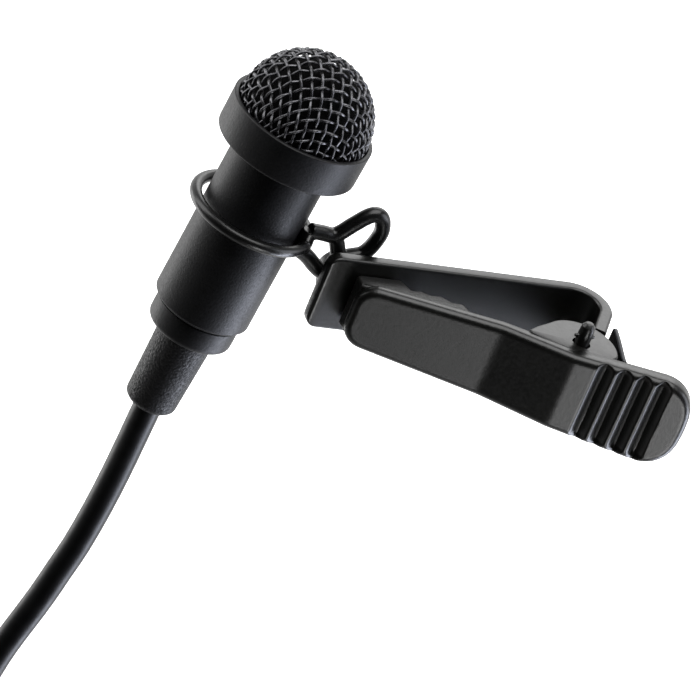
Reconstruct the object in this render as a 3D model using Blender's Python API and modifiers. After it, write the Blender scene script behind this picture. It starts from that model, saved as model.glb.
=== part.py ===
"""Clip-on lavalier microphone: capsule unit in a swivelling ring holder, spring clip, coiled cable and plug.

Frame: metres, +Z up along the microphone's axis, +X along the clip from its jaw to its thumb grip,
-Y towards the lever side of the clip. The origin is the point on the rear jaw's inner face where the
two jaws grip cloth, straight in front of the holder's swivel.
"""
import math

import bmesh
import bpy
from mathutils import Matrix, Vector

MM = 0.001

# ---- driving dimensions, in millimetres and degrees ----
FIT = 0.15                      # play between pieces that touch on the real object
ROUND = 32                      # facets round a turned piece

MIC_AXIS = (-7.9, 4.4)          # x and y of the microphone's axis
RING_Z = 2.25                   # height of the holder ring's middle
CLIP_TILT = 6.7                 # the clip's long axis rises this much towards its grip

BEZEL_R = 5.43
BEZEL_TOP, BEZEL_BOTTOM = 8.54, 5.61          # heights on the microphone count from the ring's middle
GRILLE_R = 4.95
BARREL_R, BARREL_BORE = 3.7, 3.1
BARREL_BOTTOM = -8.57
CAPSULE_R, CAPSULE_HEIGHT = 2.35, 2.7
COLLAR_R, COLLAR_BOTTOM = 3.25, -10.65
RELIEF_TOP_R, RELIEF_END_R, RELIEF_BOTTOM = 2.2, 1.97, -17.45

CABLE_D = 2.15
COIL_R, COIL_SECTION_R, COIL_SECTION_Y = 13.0, 4.4, 5.5   # mean radius and half section of the coil
COIL_CENTRE = (-0.3, -70.0)                   # from the microphone's axis and the ring's middle

RING_RADIUS, RING_ROD_R = 4.45, 0.42
STRUT_R = 0.56
HOLDER_Y = -2.45                              # the struts' plane, from the microphone's axis

JAW_HEIGHT, JAW_THICK = 6.15, 1.0
JAW_LEFT = -2.55
BEND, BEND_R = (16.91, -1.65), 1.65          # the hairpin's centre and inner radius
PIN = (15.0, -7.2)                            # hinge pin in the clip's own plane
PIN_R, PIN_TOP, PIN_BOTTOM = 0.55, 5.0, -3.75
EAR_R, EAR_THICK = 2.85, 0.75
KNUCKLE_R = 1.25


# ---- scene, materials and small tools ----
def clear_scene():
    """Empties the scene that Blender starts with."""
    for item in list(bpy.data.objects):
        bpy.data.objects.remove(item, do_unlink=True)


def new_collection(name):
    """A collection under the scene's own."""
    made = bpy.data.collections.new(name)
    bpy.context.scene.collection.children.link(made)
    return made


def material(name, colour, roughness, metallic=0.0):
    """A plain Principled material, shared by name."""
    made = bpy.data.materials.get(name)
    if made is None:
        made = bpy.data.materials.new(name)
        made.use_nodes = True
        shader = made.node_tree.nodes["Principled BSDF"]
        shader.inputs["Base Color"].default_value = (*colour, 1.0)
        shader.inputs["Roughness"].default_value = roughness
        shader.inputs["Metallic"].default_value = metallic
    return made


def painted_metal():
    return material("black_painted_metal", (0.035, 0.035, 0.037), 0.5)


def black_plastic():
    return material("black_moulded_plastic", (0.04, 0.04, 0.038), 0.4)


def rubber():
    return material("black_rubber", (0.02, 0.02, 0.02), 0.7)


def steel():
    return material("blackened_spring_steel", (0.06, 0.06, 0.06), 0.35, 0.9)


def gold():
    return material("gold_plated_brass", (0.8, 0.6, 0.25), 0.25, 1.0)


clear_scene()
PARTS = new_collection("lavalier_microphone")
CUTTERS = new_collection("cutters")


def metres(points):
    return [Vector(p) * MM for p in points]


def place(item, parent=None, location=(0, 0, 0), rotation=(0, 0, 0)):
    """Sets an object's place under its parent, location in millimetres and rotation in degrees."""
    item.parent = parent
    item.location = Vector(location) * MM
    item.rotation_euler = [math.radians(a) for a in rotation]
    return item


def empty(name, parent=None, location=(0, 0, 0), rotation=(0, 0, 0)):
    """A named axis or frame that parts are parented to."""
    made = bpy.data.objects.new(name, None)
    PARTS.objects.link(made)
    return place(made, parent, location, rotation)


def finish(item, look, parent=None, location=(0, 0, 0), rotation=(0, 0, 0), smooth=35):
    """Gives a mesh object its material, shading and place."""
    item.data.materials.clear()
    item.data.materials.append(look)
    item.data.shade_smooth()
    item.data.set_sharp_from_angle(angle=math.radians(smooth))
    return place(item, parent, location, rotation)


def mesh_object(name, mesh, group=None):
    made = bpy.data.objects.new(name, mesh)
    (group or PARTS).objects.link(made)
    return made


def flatten(item):
    """Applies an object's modifiers to a mesh of its own, in the object's own space."""
    bpy.context.view_layer.update()
    graph = bpy.context.evaluated_depsgraph_get()
    flat = bpy.data.meshes.new_from_object(item.evaluated_get(graph))
    item.modifiers.clear()
    item.data = flat
    return item


def turned(name, profile, look, parent=None, location=(0, 0, 0), rotation=(0, 0, 0), facets=ROUND,
           group=None):
    """A turned piece: (radius, height) points run down its outer side and, when hollow, up its inner side."""
    hollow = profile[0][0] > 0
    mesh = bpy.data.meshes.new(name)
    last = len(profile) - 1
    edges = [(i, i + 1) for i in range(last)] + ([(last, 0)] if hollow else [])
    mesh.from_pydata(metres((r, 0, z) for r, z in profile), edges, [])
    made = mesh_object(name, mesh, group)
    screw = made.modifiers.new("turn", "SCREW")
    screw.steps = facets
    screw.render_steps = facets
    screw.use_merge_vertices = True
    screw.merge_threshold = 1e-6
    flatten(made)
    return finish(made, look, parent, location, rotation)


def rod(name, points, radius, look, parent=None, sides=2, group=None):
    """A round rod with closed ends along a polyline, as a welded mesh."""
    curve = bpy.data.curves.new(name, "CURVE")
    curve.dimensions = "3D"
    curve.bevel_depth = radius * MM
    curve.bevel_resolution = sides
    curve.use_fill_caps = True
    spline = curve.splines.new("POLY")
    spline.points.add(len(points) - 1)
    for knot, point in zip(spline.points, metres(points)):
        knot.co = (*point, 1.0)
    guide = bpy.data.objects.new(name + "_guide", curve)
    PARTS.objects.link(guide)
    bpy.context.view_layer.update()
    mesh = bpy.data.meshes.new_from_object(guide.evaluated_get(bpy.context.evaluated_depsgraph_get()))
    bpy.data.objects.remove(guide, do_unlink=True)
    shape = bmesh.new()
    shape.from_mesh(mesh)
    bmesh.ops.remove_doubles(shape, verts=shape.verts, dist=1e-7)
    bmesh.ops.recalc_face_normals(shape, faces=shape.faces)
    shape.to_mesh(mesh)
    shape.free()
    return finish(mesh_object(name, mesh, group), look, parent)


def plate(name, outline, low, high, look, parent=None, rotation=(0, 0, 0), group=None):
    """A flat outline in XY, filled and made thick from low to high along Z."""
    curve = bpy.data.curves.new(name, "CURVE")
    curve.dimensions = "2D"
    curve.fill_mode = "BOTH"
    curve.extrude = (high - low) / 2 * MM
    spline = curve.splines.new("POLY")
    spline.points.add(len(outline) - 1)
    for knot, (x, y) in zip(spline.points, outline):
        knot.co = (x * MM, y * MM, 0, 1)
    spline.use_cyclic_u = True
    guide = bpy.data.objects.new(name + "_guide", curve)
    PARTS.objects.link(guide)
    bpy.context.view_layer.update()
    mesh = bpy.data.meshes.new_from_object(guide.evaluated_get(bpy.context.evaluated_depsgraph_get()))
    bpy.data.objects.remove(guide, do_unlink=True)
    shape = bmesh.new()
    shape.from_mesh(mesh)
    bmesh.ops.remove_doubles(shape, verts=shape.verts, dist=1e-7)
    bmesh.ops.dissolve_limit(shape, angle_limit=0.01, verts=shape.verts, edges=shape.edges)
    bmesh.ops.translate(shape, verts=shape.verts, vec=(0, 0, (low + high) / 2 * MM))
    bmesh.ops.recalc_face_normals(shape, faces=shape.faces)
    shape.to_mesh(mesh)
    shape.free()
    return finish(mesh_object(name, mesh, group), look, parent, rotation=rotation)


def combine(item, others, operation, crossing=False):
    """Boolean of an object with solids that share its frame; the others are used up."""
    for other in others:
        tool = item.modifiers.new(operation.lower(), "BOOLEAN")
        tool.operation = operation
        tool.solver = "EXACT"
        tool.use_self = crossing
        tool.object = other
    flatten(item)
    shape = bmesh.new()
    shape.from_mesh(item.data)
    bmesh.ops.remove_doubles(shape, verts=shape.verts, dist=4e-6)
    bmesh.ops.dissolve_degenerate(shape, edges=shape.edges, dist=2e-6)
    bmesh.ops.holes_fill(shape, edges=[e for e in shape.edges if e.is_boundary], sides=4)
    shape.to_mesh(item.data)
    shape.free()
    for other in others:
        bpy.data.objects.remove(other, do_unlink=True)
    item.data.shade_smooth()
    item.data.set_sharp_from_angle(angle=math.radians(35))
    return item


def arc(centre, radius, start, end, steps):
    """Points on an arc, angles in degrees."""
    angles = [math.radians(start + (end - start) * i / steps) for i in range(steps + 1)]
    return [(centre[0] + radius * math.cos(a), centre[1] + radius * math.sin(a)) for a in angles]


def disc(radius, low, high, centre=(0, 0), facets=ROUND, parent=None):
    """A plain cylinder along Z, used to cut or to join."""
    made = turned("disc", [(0, high), (radius, high), (radius, low), (0, low)], black_plastic(),
                  facets=facets, group=CUTTERS)
    made.data.transform(Matrix.Translation(Vector((centre[0], centre[1], 0)) * MM))
    return place(made, parent)


def smooth_path(points, step):
    """A Catmull-Rom curve through the points, read about every step millimetres."""
    knots = [Vector(p) for p in points]
    knots = [2 * knots[0] - knots[1]] + knots + [2 * knots[-1] - knots[-2]]
    path = [knots[1]]
    for a, b, c, d in zip(knots, knots[1:], knots[2:], knots[3:]):
        count = max(1, round((c - b).length / step))
        for i in range(1, count + 1):
            t = i / count
            path.append(0.5 * (2 * b + (c - a) * t + (2 * a - 5 * b + 4 * c - d) * t * t
                               + (3 * b - a - 3 * c + d) * t ** 3))
    return path


# ---- frames ----
mic_frame = empty("microphone_axis", location=(*MIC_AXIS, RING_Z))
clip_frame = empty("clip_axis", rotation=(0, -CLIP_TILT, 0))


# ---- microphone head ----
def dome(radius, rows):
    """Profile points of a quarter circle about the bezel's top, from the pole to the equator."""
    angles = [math.pi / 2 * i / rows for i in range(rows + 1)]
    return [(radius * math.sin(a), BEZEL_TOP + radius * math.cos(a)) for a in angles]


def build_head():
    """Grille dome, its cloth liner and the bezel that clamps both on the barrel."""
    skirt = 6.5
    shell = dome(GRILLE_R, 9) + [(GRILLE_R, skirt), (GRILLE_R - 0.3, skirt)]
    turned("wire_grille", shell + dome(GRILLE_R - 0.3, 9)[::-1], steel(), mic_frame)
    cloth = dome(4.4, 7) + [(4.4, skirt), (4.2, skirt)]
    turned("cloth_liner", cloth + dome(4.2, 7)[::-1],
           material("acoustic_cloth", (0.01, 0.01, 0.01), 0.95), mic_frame)
    turned("grille_bezel", [
        (GRILLE_R + FIT, BEZEL_TOP), (BEZEL_R - 0.05, BEZEL_TOP), (BEZEL_R, BEZEL_TOP - 0.08),
        (BEZEL_R, BEZEL_BOTTOM + 0.25), (BEZEL_R - 0.2, BEZEL_BOTTOM), (BARREL_BORE + 0.5, BEZEL_BOTTOM),
        (BARREL_BORE + 0.5, 6.3), (GRILLE_R + FIT, 6.3)], painted_metal(), mic_frame)


def build_barrel():
    """Barrel, capsule in its rubber boot, contact board, leads, end collar, ferrule and strain relief."""
    neck = BARREL_BORE + 0.35
    turned("barrel", [
        (neck, 7.1), (neck, BEZEL_BOTTOM - 0.2), (BARREL_R, BEZEL_BOTTOM - 0.2),
        (BARREL_R, BARREL_BOTTOM + 0.3), (BARREL_R - 0.32, BARREL_BOTTOM),
        (BARREL_BORE, BARREL_BOTTOM), (BARREL_BORE, 7.1)], painted_metal(), mic_frame)
    top = 6.9
    bottom = top - CAPSULE_HEIGHT
    turned("microphone_capsule", [
        (0, top - 0.1), (0.9, top - 0.1), (1.0, top), (CAPSULE_R - 0.1, top), (CAPSULE_R, top - 0.1),
        (CAPSULE_R, bottom), (0, bottom)], material("capsule_can", (0.6, 0.6, 0.58), 0.3, 1.0), mic_frame)
    turned("capsule_boot", [
        (CAPSULE_R + FIT, top - 0.3), (BARREL_BORE - FIT, top - 0.3), (BARREL_BORE - FIT, bottom - 1.2),
        (CAPSULE_R + FIT, bottom - 1.2)], rubber(), mic_frame)
    turned("contact_board", [
        (0, bottom - 0.3), (CAPSULE_R - 0.1, bottom - 0.3), (CAPSULE_R - 0.1, bottom - 0.8),
        (0, bottom - 0.8)], material("circuit_board", (0.02, 0.12, 0.06), 0.5), mic_frame)
    leads = [rod(name, smooth_path([(side * 1.1, 0, bottom - 1.0), (side * 1.3, 0.3, 0),
                                    (side * 0.8, -0.3, -4), (side * 0.9, 0, -7.2)], 2.5),
                 0.3, material("lead_insulation", (0.4, 0.05, 0.04), 0.5), mic_frame)
             for name, side in (("signal_lead", -1), ("ground_lead", 1))]
    leads[1].data.materials[0] = material("bare_copper", (0.7, 0.35, 0.2), 0.3, 1.0)
    turned("end_collar", [
        (2.9, -7.4), (2.9, BARREL_BOTTOM - FIT), (COLLAR_R, BARREL_BOTTOM - FIT),
        (COLLAR_R, COLLAR_BOTTOM + 0.55), (COLLAR_R - 0.18, COLLAR_BOTTOM + 0.15),
        (COLLAR_R - 0.6, COLLAR_BOTTOM), (RELIEF_TOP_R + FIT, COLLAR_BOTTOM),
        (RELIEF_TOP_R + FIT, -10.0), (2.65, -10.0), (2.65, -7.4)], painted_metal(), mic_frame)
    turned("crimp_ferrule", [(0.55, -7.5), (1.9, -7.5), (1.9, -8.7), (0.55, -8.7)], gold(), mic_frame)
    bore = CABLE_D / 2 + FIT
    turned("strain_relief", [
        (bore, -8.9), (2.5, -8.9), (2.5, -9.8), (RELIEF_TOP_R, -9.8), (RELIEF_END_R, -16.7),
        (RELIEF_END_R - 0.12, -17.05), (RELIEF_END_R - 0.4, -17.35), (bore, RELIEF_BOTTOM)],
        rubber(), mic_frame)


# ---- cable, coil and plug ----
# The free cable from inside the strain relief to the coil, as (x, z) from the microphone's axis.
CABLE_ROUTE = [(0, -9.1), (0, -13), (0.05, -17.0), (0.25, -20.5), (0.45, -24.0), (0.53, -27.5),
               (0.45, -31.0), (0.2, -33.5), (-0.05, -36.0), (-0.42, -38.5), (-0.8, -40.9), (-1.0, -43.4),
               (-0.95, -46.0), (-0.35, -48.5), (0.9, -50.4), (2.6, -51.6)]
# The tail from the coil's front over to the plug, as (x, y, z) from the coil's centre, y from the cable's.
TAIL_ROUTE = [(-9.37, -2.6, 2.5), (-8.9, -3.1, 4.9), (-7.3, -4.0, 7.6), (-4.7, -5.1, 10.0),
              (-1.5, -6.1, 11.0), (1.3, -6.6, 10.2), (2.8, -6.7, 7.8), (3.1, -6.7, 5.0), (3.1, -6.7, 1.5)]
PLUG_AT = (COIL_CENTRE[0] + 3.1, -6.7)


def build_cable():
    """The cable's free stretch, the solid that its coil fills, its tie, and the tail to the plug."""
    radius = CABLE_D / 2
    rod("cable", smooth_path([(x, 0, z) for x, z in CABLE_ROUTE], 4.5), radius,
        rubber(), mic_frame)
    inner, outer = COIL_R - COIL_SECTION_R, COIL_R + COIL_SECTION_R
    depth = 2 * CABLE_D
    soft = 1.0
    centre = (COIL_CENTRE[0], depth, COIL_CENTRE[1])
    turned("cable_coil", [
        (inner, COIL_SECTION_Y - soft), (inner + soft, COIL_SECTION_Y), (outer - soft, COIL_SECTION_Y),
        (outer, COIL_SECTION_Y - soft), (outer, soft - COIL_SECTION_Y), (outer - soft, -COIL_SECTION_Y),
        (inner + soft, -COIL_SECTION_Y), (inner, soft - COIL_SECTION_Y)], rubber(), mic_frame, centre,
        (90, 0, 0), facets=48)
    tail = [(COIL_CENTRE[0] + x, y, COIL_CENTRE[1] + z) for x, y, z in TAIL_ROUTE]
    rod("cable_tail", smooth_path(tail, 2.2), radius, rubber(), mic_frame)


def rounded_box(x, y, corner, steps=3):
    """The outline of a box with round corners, counter-clockwise."""
    points = []
    for cx, cy, start in ((x, y, 0), (-x, y, 90), (-x, -y, 180), (x, -y, 270)):
        points += arc((math.copysign(abs(cx) - corner, cx), math.copysign(abs(cy) - corner, cy)),
                      corner, start, start + 90, steps)
    return points


def build_tie():
    """A hook-and-loop band round the coil, to the right of the coil's top."""
    turn = -50
    half_r, half_y, thick = COIL_SECTION_R + 0.75, COIL_SECTION_Y + 0.45, 0.7
    frame = empty("tie_place", mic_frame, (COIL_CENTRE[0], 2 * CABLE_D, COIL_CENTRE[1]), (0, -turn, 0))
    look = material("hook_and_loop_tape", (0.02, 0.02, 0.022), 0.9)
    band = plate("cable_tie", rounded_box(half_r + thick, half_y + thick, 1.6), -2.4, 2.4, look)
    hole = plate("tie_hole", rounded_box(half_r, half_y, 1.0), -3, 3, look, group=CUTTERS)
    combine(band, [hole], "DIFFERENCE")
    band.data.transform(Matrix.Rotation(math.radians(90), 4, "Y"))
    place(band, frame, (0, 0, COIL_R))


def build_plug():
    """The screw-locking jack plug, hanging beside the coil with its tip down."""
    top = COIL_CENTRE[1] + 4.6
    at = (PLUG_AT[0], PLUG_AT[1], top)
    bore = CABLE_D / 2 + FIT
    turned("plug_boot", [
        (bore, 0.6), (1.7, 0.5), (1.9, 0.1), (2.5, -7.2), (3.1, -7.2), (3.1, -8.4), (bore, -8.4)],
        rubber(), mic_frame, at)
    turned("plug_housing", [
        (3.25, -7.3), (3.9, -7.4), (4.1, -7.7), (4.1, -15.2), (3.1, -15.2), (3.1, -17.5),
        (2.0, -17.5), (2.0, -16.5), (2.5, -8.7), (3.25, -8.7)], painted_metal(), mic_frame, at)
    lock = [(4.75 + (0.2 if i % 2 else 0), i) for i in range(40)]
    knurl = plate("locking_ring", [(r * math.cos(math.tau * i / 40), r * math.sin(math.tau * i / 40))
                                   for r, i in lock], -22.8, -15.4, painted_metal())
    combine(knurl, [disc(3.1 + FIT, -17.6, -15.0), disc(2.9, -24, -17.65)], "DIFFERENCE")
    place(knurl, mic_frame, at)
    turned("jack_sleeve", [
        (0.95, -17.65), (1.9, -17.65), (1.9, -18.6), (1.75, -18.6), (1.75, -26.6), (0.95, -26.6)],
        gold(), mic_frame, at)
    insulation = material("jack_insulator", (0.03, 0.03, 0.03), 0.4)
    turned("upper_insulator", [(0.95, -26.7), (1.75, -26.7), (1.75, -27.3), (0.95, -27.3)],
           insulation, mic_frame, at)
    turned("jack_ring", [(0.95, -27.4), (1.75, -27.4), (1.75, -29.2), (0.95, -29.2)], gold(), mic_frame, at)
    turned("lower_insulator", [(0.95, -29.3), (1.75, -29.3), (1.75, -29.9), (0.95, -29.9)],
           insulation, mic_frame, at)
    turned("jack_tip", [
        (0, -17.7), (0.8, -17.7), (0.8, -30.0), (1.75, -30.0), (1.75, -30.7), (1.3, -31.5), (1.7, -32.3),
        (1.45, -33.0), (0.8, -33.6), (0, -33.8)], gold(), mic_frame, at)


# ---- holder ----
# The struts' middle lines in the holder's plane, as (x, z) from the ring's middle.
HUB = (7.9, -2.25)
HOLDER_RODS = [
    [(3.45, 1.15), (4.5, 1.2), (5.5, 1.3), (6.43, 2.5), (7.05, 3.3), (7.5, 3.65), (8.0, 3.68),
     (8.45, 3.3), (8.78, 2.5), (8.75, 1.6), (8.55, 0.8), (8.2, 0.25), (7.6, -0.05), (6.9, -0.4)],
    [(5.5, 1.3), (6.0, 0.6), (6.7, -0.55), HUB],
    [(3.45, -0.6), (4.3, -0.98), (5.8, -1.85), HUB],
    [(3.45, 1.2), (3.5, 0.1), (3.45, -0.75)]]
HUB_R, HUB_BORE, HUB_THICK = 1.9, 0.85, 1.1


def build_holder():
    """One moulding: the ring round the barrel, its open struts and cable loop, and the swivel hub."""
    steps = 40
    bpy.ops.mesh.primitive_torus_add(major_segments=steps, minor_segments=10,
                                     major_radius=RING_RADIUS * MM, minor_radius=RING_ROD_R * MM)
    holder = bpy.context.object
    holder.name = "holder_frame"
    for group in list(holder.users_collection):
        group.objects.unlink(holder)
    PARTS.objects.link(holder)
    rods = [rod("strut", [(x, HOLDER_Y + 0.003 * i, z) for x, z in line], STRUT_R - 0.012 * i,
                black_plastic(), group=CUTTERS) for i, line in enumerate(HOLDER_RODS)]
    hub = disc(HUB_R, -HUB_THICK / 2, HUB_THICK / 2, facets=24)
    hub.data.transform(Matrix.Translation(Vector((HUB[0], HOLDER_Y, HUB[1])) * MM)
                       @ Matrix.Rotation(math.radians(90), 4, "X"))
    combine(holder, rods + [hub], "UNION", crossing=True)
    bore = disc(HUB_BORE, -2, 2, facets=24)
    bore.data.transform(Matrix.Translation(Vector((HUB[0], HOLDER_Y, HUB[1])) * MM)
                        @ Matrix.Rotation(math.radians(90), 4, "X"))
    barrel_room = disc(BARREL_R + FIT, -3, 3, facets=54)
    combine(holder, [bore, barrel_room], "DIFFERENCE")
    finish(holder, black_plastic(), mic_frame)


# ---- clip ----
def jaw_outline():
    """Side view of the rear jaw: plate, hairpin bend, and the strip that ends in the pin's knuckle."""
    outer_r = BEND_R + JAW_THICK
    down = -26.3
    knuckle = arc(PIN, KNUCKLE_R, 18, 340, 12)
    return ([(JAW_LEFT, 0)] + arc(BEND, BEND_R, 90, down, 8) + knuckle
            + arc(BEND, outer_r, down, 90, 8) + [(JAW_LEFT, JAW_THICK)])


def bevel_edges(item, wanted, width, segments):
    """Rounds the edges that wanted(edge) picks, in the object's own space."""
    shape = bmesh.new()
    shape.from_mesh(item.data)
    picked = [e for e in shape.edges if wanted(e)]
    bmesh.ops.bevel(shape, geom=picked, offset=width * MM, segments=segments, affect="EDGES", profile=0.5)
    shape.to_mesh(item.data)
    shape.free()
    return item


def along(edge, axis):
    """Whether an edge runs along an axis, 0 to 2."""
    run = edge.verts[1].co - edge.verts[0].co
    return abs(run[axis]) > 0.99 * run.length


def build_rear_jaw():
    """The rear jaw, moulded in one with its hairpin bend, hinge knuckle and swivel post."""
    half = JAW_HEIGHT / 2
    jaw = plate("rear_jaw", jaw_outline(), -half, half, black_plastic())
    bevel_edges(jaw, lambda e: along(e, 1) and e.verts[0].co.x < (JAW_LEFT + 0.1) * MM, 0.9, 4)
    post = disc(0.7, -3.45, -0.5, facets=20)
    post.data.transform(Matrix.Rotation(math.radians(90), 4, "X"))
    combine(jaw, [post], "UNION")
    room = EAR_R + 0.25
    above = disc(room, half - EAR_THICK - 0.45, half + 1, PIN)
    below = disc(room, -half - 1, -half + EAR_THICK + 0.45, PIN)
    bore = disc(PIN_R + FIT, -half - 1, half + 1, PIN, facets=20)
    combine(jaw, [above, below, bore], "DIFFERENCE")
    finish(jaw, black_plastic(), clip_frame)


# The lever's front line and its depth behind that line, as (x, y, depth) in the clip's plane.
LEVER_LINE = [(-0.85, -2.35, 0.85), (9.15, -6.35, 1.05), (13.85, -9.2, 1.35), (22.8, -12.61, 1.5)]
# The lever's half height along x.
LEVER_HALF = [(-0.85, 2.5), (9.15, 3.05), (13.85, 3.2), (20.3, 3.55), (21.6, 3.05), (22.5, 1.6)]
WALL = 0.8


def lever_outline(inset, extra):
    """Side view of the lever's bar: its front line, moved in by inset, and its back, moved out by extra."""
    front, back = [], []
    for i, (x, y, depth) in enumerate(LEVER_LINE):
        ahead = LEVER_LINE[min(i + 1, len(LEVER_LINE) - 1)]
        before = LEVER_LINE[max(i - 1, 0)]
        run = Vector((ahead[0] - before[0], ahead[1] - before[1])).normalized()
        normal = Vector((-run.y, run.x))
        front.append(Vector((x, y)) + normal * inset)
        back.append(Vector((x, y)) + normal * (depth + extra))
    return [tuple(p) for p in front] + [tuple(p) for p in back[::-1]]


def lever_plan(inset):
    """Front view of the lever as an (x, z) outline, moved in by inset."""
    upper = [(x, h - inset) for x, h in LEVER_HALF]
    upper[0] = (upper[0][0] + inset, upper[0][1])
    upper[-1] = (upper[-1][0] - inset, upper[-1][1])
    upper[-2] = (upper[-2][0] - 0.7 * inset, upper[-2][1])
    return upper + [(x, -z) for x, z in upper[::-1]]


def turned_up(item):
    """Turns a plate made in XY so that its outline lies in XZ."""
    item.data.transform(Matrix.Rotation(math.radians(90), 4, "X"))
    return item


def build_lever():
    """The front lever: a channel with a folded front, four finger grooves and two hinge ears."""
    look = black_plastic()
    lever = plate("front_lever", lever_outline(0, 0), -4, 4, look)
    plan = turned_up(plate("plan", lever_plan(0), -1, 15, look, group=CUTTERS))
    bevel_edges(plan, lambda e: along(e, 1) and e.verts[0].co.x < 0, 0.9, 4)
    combine(lever, [plan], "INTERSECT")
    bevel_edges(lever, front_rim, 0.35, 2)
    pocket = plate("pocket", lever_outline(WALL, 2), -4, 4, look, group=CUTTERS)
    pocket_plan = turned_up(plate("pocket_plan", lever_plan(WALL), -1, 15, look, group=CUTTERS))
    combine(pocket, [pocket_plan], "INTERSECT")
    combine(lever, [pocket], "DIFFERENCE")
    half = 3.2
    ears = []
    for low, high in ((half - EAR_THICK, half), (-half, EAR_THICK - half)):
        outline = [(10.9, -6.35), (12.0, -5.6)] + arc(PIN, EAR_R, 125, -28, 12) + [(16.0, -9.6)]
        ears.append(plate("ear", outline, low, high, look, group=CUTTERS))
    combine(lever, ears, "UNION")
    bore = disc(PIN_R + FIT, -5, 5, PIN, facets=20)
    combine(lever, [bore] + groove_cutters(), "DIFFERENCE")
    finish(lever, look, clip_frame)


def front_rim(edge):
    """The long edges round the lever's front face."""
    faces = edge.link_faces
    if len(faces) != 2:
        return False
    ahead = [f.normal.y < -0.7 for f in faces]
    return ahead[0] != ahead[1]


GROOVES = 4
GROOVE_PITCH, GROOVE_START = 1.42, 2.55       # along the grip from the second fold
GROOVE_R, GROOVE_HALF = 0.55, 2.75


def groove_cutters():
    """Four spindle-shaped cutters that leave finger grooves with pointed ends."""
    a, b = Vector(LEVER_LINE[2][:2]), Vector(LEVER_LINE[3][:2])
    run = (b - a).normalized()
    cutters = []
    for i in range(GROOVES):
        spot = a + run * (GROOVE_START + i * GROOVE_PITCH)
        spindle = turned("groove", [(0, GROOVE_HALF), (GROOVE_R, GROOVE_HALF - 0.9),
                                    (GROOVE_R, 0.9 - GROOVE_HALF), (0, -GROOVE_HALF)],
                         black_plastic(), facets=10, group=CUTTERS)
        spindle.data.transform(Matrix.Translation(Vector((spot.x, spot.y, 0)) * MM))
        cutters.append(spindle)
    return cutters


def build_insert():
    """The toothed insert in the lever's jaw end, whose flat first tooth meets the rear jaw."""
    outline = [(-0.3, -0.15), (3.3, -0.15), (3.75, -1.35), (4.5, -1.2), (5.1, -1.6), (6.0, -1.55),
               (6.7, -2.2), (7.6, -2.25), (8.4, -4.75), (-0.3, -1.5)]
    insert = plate("toothed_insert", outline, -2.1, 2.1,
                   material("grey_moulded_plastic", (0.05, 0.05, 0.05), 0.5))
    finish(insert, insert.data.materials[0], clip_frame)


def build_hinge():
    """The hinge pin with its snap barbs, and the folded leaf spring beside it."""
    pin = turned("hinge_pin", [
        (0, PIN_TOP), (0.3, PIN_TOP - 0.05), (0.5, PIN_TOP - 0.3), (PIN_R, PIN_TOP - 0.9),
        (PIN_R, PIN_BOTTOM + 0.3), (0.95, PIN_BOTTOM + 0.3), (0.95, PIN_BOTTOM), (0, PIN_BOTTOM)],
        black_plastic(), facets=20)
    barb = rod("barb", [(-0.8, 0, 3.85), (0.8, 0, 3.85)], 0.2, black_plastic(), group=CUTTERS)
    combine(pin, [barb], "UNION")
    place(pin, clip_frame, (*PIN, 0))
    blade = [(18.75, -4.4), (19.15, -4.4), (18.6, -7.2), (18.35, -8.75), (17.95, -8.75), (18.2, -7.1)]
    foot = [(18.3, -8.2), (18.3, -9.2), (18.6, -9.55), (20.4, -10.2), (20.25, -10.6), (18.35, -9.95),
            (17.98, -9.4), (17.98, -8.2)]
    spring = plate("leaf_spring", blade, -3.0, 3.0, steel())
    combine(spring, [plate("foot", foot, -2.2, 2.2, steel(), group=CUTTERS)], "UNION")
    finish(spring, steel(), clip_frame)


def build_swivel():
    """The cap pushed on the swivel post behind the holder's hub."""
    cap = turned("swivel_cap", [
        (0, 3.9), (1.2, 3.9), (1.5, 3.6), (1.5, 2.8), (0.85, 2.8), (0.85, 3.6), (0, 3.6)],
        black_plastic(), clip_frame, rotation=(-90, 0, 0), facets=24)
    return cap


build_head()
build_barrel()
build_cable()
build_tie()
build_plug()
build_holder()
build_rear_jaw()
build_lever()
build_insert()
build_hinge()
build_swivel()
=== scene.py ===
"""The visible surfaces and finishes of a clip-on lavalier microphone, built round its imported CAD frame.

Lengths are in millimetres until a mesh is made. The sections follow the assembly: barrel, capsule, grille,
bezel, collar and relief, cable and plug, holder, clip, and last the studio.
"""
import math

import bmesh
import bpy
import numpy as np
from mathutils import Matrix, Vector


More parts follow.
